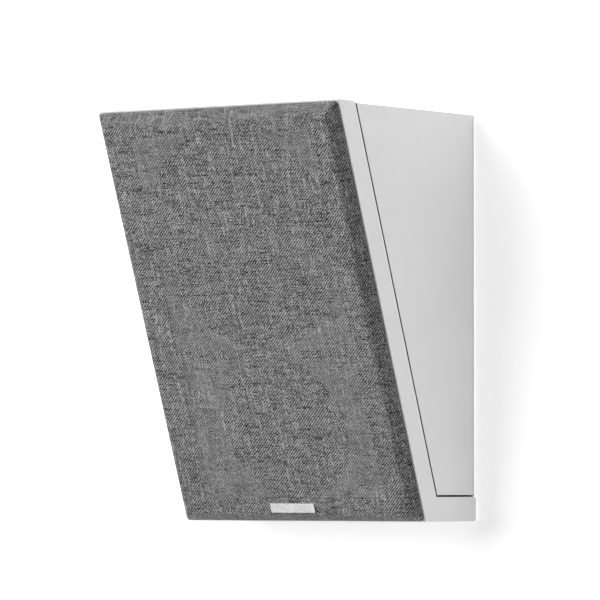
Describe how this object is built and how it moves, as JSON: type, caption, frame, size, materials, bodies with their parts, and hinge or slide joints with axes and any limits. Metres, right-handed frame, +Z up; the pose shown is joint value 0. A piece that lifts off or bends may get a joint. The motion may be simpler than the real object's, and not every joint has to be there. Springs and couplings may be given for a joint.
{
  "type": "on-wall bookshelf speaker",
  "caption": "Wedge-shaped two-way wall speaker with an L-shaped white front shell, a magnetic cloth grille that pulls off, a woofer, a dome tweeter and screw-down binding posts.",
  "frame": {"origin": "midway between the two keyholes, on the outer face of the back plate", "axes": "+Y into the wall, +Z up, +X to the right as seen from the room"},
  "size_m": [0.18, 0.1528, 0.25],
  "materials": {
    "shell_paint": "satin",
    "plate_paint": "satin",
    "panel_mdf": "matte",
    "batten_pine": "matte",
    "foam_seal": "matte",
    "pad_rubber": "matte",
    "zinc_steel": "satin",
    "black_steel": "satin",
    "wadding_wool": "matte",
    "grille_plastic": "matte",
    "grille_cloth": "matte",
    "satin_bar": "satin",
    "magnet_nickel": "polished",
    "basket_paint": "matte",
    "soft_rubber": "matte",
    "cone_paper": "matte",
    "former_film": "satin",
    "copper_wire": "gloss",
    "spider_cloth": "matte",
    "ferrite": "matte",
    "terminal_brass": "satin",
    "faceplate_plastic": "satin",
    "dome_silk": "matte",
    "board_laminate": "satin",
    "capacitor_film": "gloss",
    "resistor_ceramic": "matte",
    "nylon": "satin",
    "cup_plastic": "satin",
    "knob_red": "gloss",
    "knob_black": "gloss",
    "lead_pvc": "satin"
  },
  "bodies": {
    "cabinet": {"front_shell": "shell_paint", "shell_base": "shell_paint", "cabinet_wrap": "shell_paint", "back_panel": "panel_mdf", "back_plate": "plate_paint", "shell_gasket": "foam_seal", "front_battens": "batten_pine", "rear_battens": "batten_pine", "shell_screws": "zinc_steel", "back_screws": "zinc_steel", "wall_pads": "pad_rubber", "wadding": "wadding_wool", "baffle_discs": "zinc_steel", "woofer_basket": "basket_paint", "woofer_seal": "foam_seal", "woofer_surround": "soft_rubber", "woofer_spider": "spider_cloth", "woofer_top_plate": "zinc_steel", "woofer_magnet": "ferrite", "woofer_yoke": "zinc_steel", "woofer_terminals": "terminal_brass", "woofer_screws": "black_steel", "tweeter_faceplate": "faceplate_plastic", "tweeter_seal": "foam_seal", "tweeter_surround": "dome_silk", "tweeter_top_plate": "zinc_steel", "tweeter_magnet": "ferrite", "tweeter_yoke": "zinc_steel", "tweeter_rear_cup": "cup_plastic", "tweeter_terminals": "terminal_brass", "tweeter_screws": "black_steel", "crossover_board": "board_laminate", "woofer_inductor": "copper_wire", "tweeter_inductor": "copper_wire", "capacitors": "capacitor_film", "resistors": "resistor_ceramic", "board_standoffs": "nylon", "board_screws": "zinc_steel", "terminal_cup": "cup_plastic", "cup_seal": "foam_seal", "cup_screws": "black_steel", "post_studs": "terminal_brass", "post_nuts": "zinc_steel", "input_leads": "lead_pvc", "woofer_leads": "lead_pvc", "tweeter_leads": "lead_pvc"},
    "grille": {"grille_frame": "grille_plastic", "grille_cloth": "grille_cloth", "name_bar": "satin_bar", "grille_magnets": "magnet_nickel"},
    "woofer_mover": {"woofer_cone": "cone_paper", "woofer_dust_cap": "cone_paper", "woofer_former": "former_film", "woofer_winding": "copper_wire"},
    "tweeter_mover": {"tweeter_dome": "dome_silk", "tweeter_coil": "copper_wire"},
    "red_clamp": {"red_washer": "terminal_brass"},
    "red_grip": {"red_knob": "knob_red"},
    "black_clamp": {"black_washer": "terminal_brass"},
    "black_grip": {"black_knob": "knob_black"}
  },
  "joints": [
    {"name": "grille_pull", "type": "slide", "parent": "cabinet", "child": "grille", "axis": [0, -0.9397, -0.342], "range_m": [0, 0.15]},
    {"name": "woofer_stroke", "type": "slide", "parent": "cabinet", "child": "woofer_mover", "axis": [0, -0.9397, -0.342], "range_m": [-0.005, 0.005], "stiffness_N_per_m": 900, "deforming": ["woofer_surround", "woofer_spider"]},
    {"name": "tweeter_stroke", "type": "slide", "parent": "cabinet", "child": "tweeter_mover", "axis": [0, -0.9397, -0.342], "range_m": [-0.0004, 0.0004], "stiffness_N_per_m": 400, "deforming": ["tweeter_surround"]},
    {"name": "red_clamp_slide", "type": "slide", "parent": "cabinet", "child": "red_clamp", "axis": [0, 1, 0], "range_m": [0, 0.005]},
    {"name": "red_knob_turn", "type": "hinge", "parent": "red_clamp", "child": "red_grip", "pos_m": [0.0095, -0.02, -0.077], "axis": [0, 1, 0], "range_deg": [0, 1800]},
    {"name": "black_clamp_slide", "type": "slide", "parent": "cabinet", "child": "black_clamp", "axis": [0, 1, 0], "range_m": [0, 0.005]},
    {"name": "black_knob_turn", "type": "hinge", "parent": "black_clamp", "child": "black_grip", "pos_m": [-0.0095, -0.02, -0.077], "axis": [0, 1, 0], "range_deg": [0, 1800]}
  ],
  "couplings": [
    {"joint": "red_knob_turn", "follows": "red_clamp_slide", "rad_per_m": 6283.2},
    {"joint": "black_knob_turn", "follows": "black_clamp_slide", "rad_per_m": 6283.2}
  ]
}
